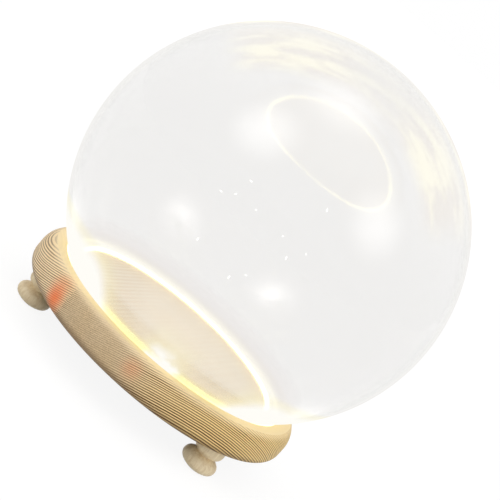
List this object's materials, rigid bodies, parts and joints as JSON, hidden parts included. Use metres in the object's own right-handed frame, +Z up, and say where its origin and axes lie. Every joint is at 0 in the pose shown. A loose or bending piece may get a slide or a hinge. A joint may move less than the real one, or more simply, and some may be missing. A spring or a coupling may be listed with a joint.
{
  "type": "lit glass globe",
  "caption": "Hollow clear glass globe standing in a turned pine base on wooden knob feet, lit from under its rim by a battery-fed ring of warm white light.",
  "frame": {"origin": "on the table, under the middle of the base", "axes": "+Z up along the axis of the globe and the base, -Y towards the picture's viewer"},
  "size_m": [0.15, 0.15, 0.1525],
  "materials": {
    "clear_glass": "polished, clear",
    "pine": "sanded, growth lines showing",
    "pale_pine": "sanded, pale",
    "beech": "turned, waxed",
    "diffuser": "translucent, lit warm white",
    "board_white": "white solder mask",
    "lamp": "lit lamp",
    "black_component": "matt",
    "box_plastic": "fine moulded texture",
    "cell_sleeve": "shrink sleeve",
    "nickel": "nickel plated",
    "steel": "zinc plated",
    "slider_plastic": "matt black",
    "red_insulation": "flexible insulation",
    "black_insulation": "flexible insulation"
  },
  "bodies": {
    "base": {"base_body": "pine", "floor_disc": "pale_pine", "diffuser_ring": "diffuser", "led_board": "board_white", "led_chips": "lamp", "board_resistors": "black_component", "front_left_foot": "beech", "front_right_foot": "beech", "rear_foot": "beech", "foot_screws": "steel", "battery_box": "box_plastic", "cell_front": "cell_sleeve", "cell_rear": "cell_sleeve", "cell_springs": "nickel", "negative_terminal": "nickel", "positive_terminal": "nickel", "link_plate": "nickel", "switch_body": "steel", "switch_lead": "red_insulation", "ring_lead_positive": "red_insulation", "ring_lead_negative": "black_insulation", "box_screws": "steel"},
    "globe": {"glass_globe": "clear_glass"},
    "door": {"battery_door": "box_plastic"},
    "slider": {"switch_slider": "slider_plastic"}
  },
  "joints": [
    {"name": "globe_lift", "type": "slide", "parent": "base", "child": "globe", "axis": [0, 0, 1], "range_m": [0, 0.12]},
    {"name": "door_slide", "type": "slide", "parent": "base", "child": "door", "axis": [1, 0, 0], "range_m": [0, 0.06]},
    {"name": "switch_slide", "type": "slide", "parent": "base", "child": "slider", "axis": [0, 1, 0], "range_m": [-0.002, 0]}
  ]
}
